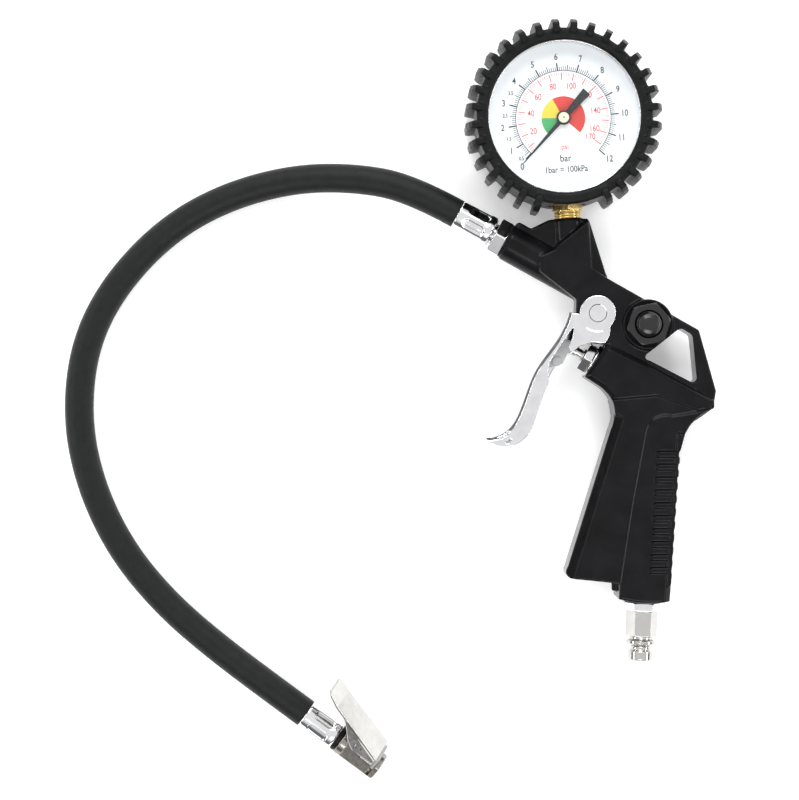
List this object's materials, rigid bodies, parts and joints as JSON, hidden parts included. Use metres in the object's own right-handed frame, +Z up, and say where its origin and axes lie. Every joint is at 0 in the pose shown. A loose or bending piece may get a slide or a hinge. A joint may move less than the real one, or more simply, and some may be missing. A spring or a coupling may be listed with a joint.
{
  "type": "tyre inflator with gauge",
  "caption": "Hand-held tyre inflator: black pistol-grip body, chromed trigger, round dial gauge in a lugged rubber boot, rubber hose with a clip-on valve chuck.",
  "frame": {"origin": "under the middle of the gun and gauge (without the free hose), on the surface that the object lies on", "axes": "+Z up from the surface, out of the gauge's dial; +Y from the air inlet towards the gauge; +X from the trigger towards the back of the grip"},
  "size_m": [0.2608, 0.3031, 0.0334],
  "materials": {
    "black_casting": "black powder coat over die-cast aluminium",
    "chrome_plate": "bright chrome plate",
    "nickel_plate": "satin nickel plate",
    "brass": "machined brass",
    "spring_steel": "spring steel",
    "steel": "zinc plated steel",
    "rubber": "matte black rubber",
    "hose_rubber": "black hose rubber with a fine cloth-wrapped texture",
    "seal_rubber": "nitrile rubber",
    "black_plastic": "black moulded plastic",
    "grey_plastic": "grey acetal",
    "dial_white": "white enamel with printed scale",
    "pointer_black": "satin black paint",
    "cap_cream": "cream plastic cap",
    "lens_clear": "clear lens",
    "bezel_bright": "bright rolled steel"
  },
  "bodies": {
    "gun": {"gun_body": "black_casting", "inlet_seal": "seal_rubber", "inlet_bushing": "chrome_plate", "inlet_plug": "nickel_plate", "inlet_filter": "brass", "valve_gland_nut": "chrome_plate", "valve_gland_seal": "seal_rubber", "valve_seat": "brass", "valve_spring": "spring_steel", "deflate_nut": "black_plastic", "deflate_spring": "spring_steel", "trigger_pivot_pin": "chrome_plate", "trigger_pin_clip": "steel", "gauge_boot": "rubber", "gauge_case": "steel", "gauge_bezel": "bezel_bright", "gauge_lens": "lens_clear", "lens_gasket": "seal_rubber", "dial_spacer": "bezel_bright", "blowout_plug": "seal_rubber", "case_screws": "steel", "bourdon_tube": "brass", "tube_tip": "brass", "gauge_socket": "brass", "movement_back_plate": "brass", "movement_front_plate": "brass", "movement_pillars": "brass", "movement_screws": "steel", "hairspring": "spring_steel", "dial_plate": "dial_white", "hose_fitting": "chrome_plate", "outlet_seal": "seal_rubber", "ferrule_gun": "chrome_plate", "ferrule_chuck": "chrome_plate", "hose": "hose_rubber", "chuck_body": "nickel_plate", "chuck_neck_ring": "seal_rubber", "chuck_pivot_pin": "nickel_plate", "chuck_depressor": "brass", "chuck_seal": "seal_rubber", "chuck_clip_spring": "spring_steel"},
    "trigger": {"trigger_lever": "chrome_plate", "trigger_push_pad": "grey_plastic"},
    "valve": {"valve_stem": "nickel_plate", "valve_poppet": "brass", "valve_poppet_seal": "seal_rubber"},
    "deflate": {"deflate_button": "black_plastic", "deflate_stem": "brass", "deflate_seal": "seal_rubber"},
    "sector": {"sector_gear": "brass", "sector_shaft": "steel"},
    "pointer": {"pinion_shaft": "steel", "pointer": "pointer_black", "pointer_cap": "cap_cream"},
    "link": {"movement_link": "brass"},
    "clip": {"chuck_lever": "nickel_plate"},
    "jaw": {"chuck_jaw": "steel"}
  },
  "joints": [
    {"name": "trigger_pull", "type": "hinge", "parent": "gun", "child": "trigger", "pos_m": [0.00415, 0.01117, 0.014], "axis": [0, 0, 1], "range_deg": [0, 8], "stiffness_Nm_per_rad": 0.35},
    {"name": "valve_slide", "type": "slide", "parent": "gun", "child": "valve", "axis": [0.8616, -0.5075, 0], "range_m": [0, 0.0025], "deforming": ["valve_spring"]},
    {"name": "deflate_press", "type": "slide", "parent": "gun", "child": "deflate", "axis": [0, 0, -1], "range_m": [0, 0.0025], "stiffness_N_per_m": 600, "deforming": ["deflate_spring"]},
    {"name": "sector_turn", "type": "hinge", "parent": "gun", "child": "sector", "pos_m": [-0.00871, 0.07539, 0.0114], "axis": [0, 0, 1], "range_deg": [0, 26.9], "stiffness_Nm_per_rad": 0.002, "deforming": ["hairspring"]},
    {"name": "pointer_turn", "type": "hinge", "parent": "gun", "child": "pointer", "pos_m": [-0.00945, 0.08857, 0.024], "axis": [0, 0, 1], "range_deg": [-269.5, 0]},
    {"name": "link_turn", "type": "hinge", "parent": "sector", "child": "link", "pos_m": [0.00014, 0.07378, 0.0124], "axis": [0, 0, 1], "range_deg": [-27, 0]},
    {"name": "clip_turn", "type": "hinge", "parent": "gun", "child": "clip", "pos_m": [-0.08919, -0.15943, 0.01129], "axis": [-0.3805, -0.518, 0.766], "range_deg": [-2.5, 12], "stiffness_Nm_per_rad": 0.3, "deforming": ["chuck_clip_spring"]},
    {"name": "jaw_slide", "type": "slide", "parent": "gun", "child": "jaw", "axis": [0.4535, 0.6174, 0.6428], "range_m": [-0.0005, 0.002]}
  ],
  "couplings": [
    {"joint": "valve_slide", "follows": "trigger_pull", "m_per_rad": 0.017},
    {"joint": "pointer_turn", "follows": "sector_turn", "ratio": -10},
    {"joint": "link_turn", "follows": "sector_turn", "ratio": -1},
    {"joint": "jaw_slide", "follows": "clip_turn", "m_per_rad": 0.0089}
  ]
}
